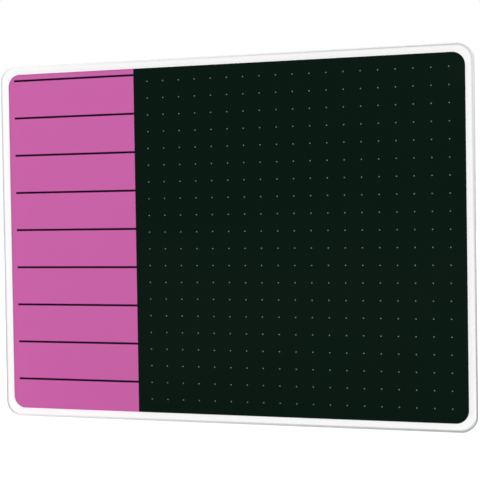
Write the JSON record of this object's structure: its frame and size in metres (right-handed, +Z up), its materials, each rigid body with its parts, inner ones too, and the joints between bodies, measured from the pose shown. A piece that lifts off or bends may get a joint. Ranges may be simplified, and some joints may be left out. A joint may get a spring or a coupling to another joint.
{
  "type": "magnetic whiteboard",
  "caption": "Framed magnetic dry-erase board for a wall, with rounded corners, a ruled list column beside a dot grid, and keyhole brackets on its back.",
  "frame": {"origin": "middle of the board on the wall face, in the plane of the four pads' rear faces", "axes": "+X to the right seen from the front, +Y into the wall so the writing face looks along -Y, +Z up"},
  "size_m": [0.582, 0.0154, 0.431],
  "materials": {
    "frame_plastic": "glossy white moulding",
    "printed_film": "glossy dry-erase film, near black with a pink ruled column",
    "steel": "bare rolled sheet",
    "fibreboard": "raw fibreboard",
    "kraft_paper": "matte brown paper",
    "bracket_plastic": "satin white moulding",
    "clip_plastic": "satin white moulding",
    "screw_zinc": "bright zinc plate",
    "pad_foam": "matte dark grey"
  },
  "bodies": {
    "root": {"frame": "frame_plastic", "printed_film": "printed_film", "steel_sheet": "steel", "core_board": "fibreboard", "backing_sheet": "kraft_paper", "corner_bracket_top_left": "bracket_plastic", "corner_bracket_top_right": "bracket_plastic", "corner_bracket_bottom_left": "bracket_plastic", "corner_bracket_bottom_right": "bracket_plastic", "panel_clip_top_left": "clip_plastic", "panel_clip_top_right": "clip_plastic", "panel_clip_bottom_left": "clip_plastic", "panel_clip_bottom_right": "clip_plastic", "panel_clip_left": "clip_plastic", "panel_clip_right": "clip_plastic", "bracket_screw_top_left_upper": "screw_zinc", "bracket_screw_top_left_side": "screw_zinc", "bracket_screw_top_right_upper": "screw_zinc", "bracket_screw_top_right_side": "screw_zinc", "bracket_screw_bottom_left_lower": "screw_zinc", "bracket_screw_bottom_left_side": "screw_zinc", "bracket_screw_bottom_right_lower": "screw_zinc", "bracket_screw_bottom_right_side": "screw_zinc", "clip_screw_top_left": "screw_zinc", "clip_screw_top_right": "screw_zinc", "clip_screw_bottom_left": "screw_zinc", "clip_screw_bottom_right": "screw_zinc", "clip_screw_left": "screw_zinc", "clip_screw_right": "screw_zinc", "wall_pad_top_left": "pad_foam", "wall_pad_top_right": "pad_foam", "wall_pad_bottom_left": "pad_foam", "wall_pad_bottom_right": "pad_foam"}
  },
  "joints": []
}
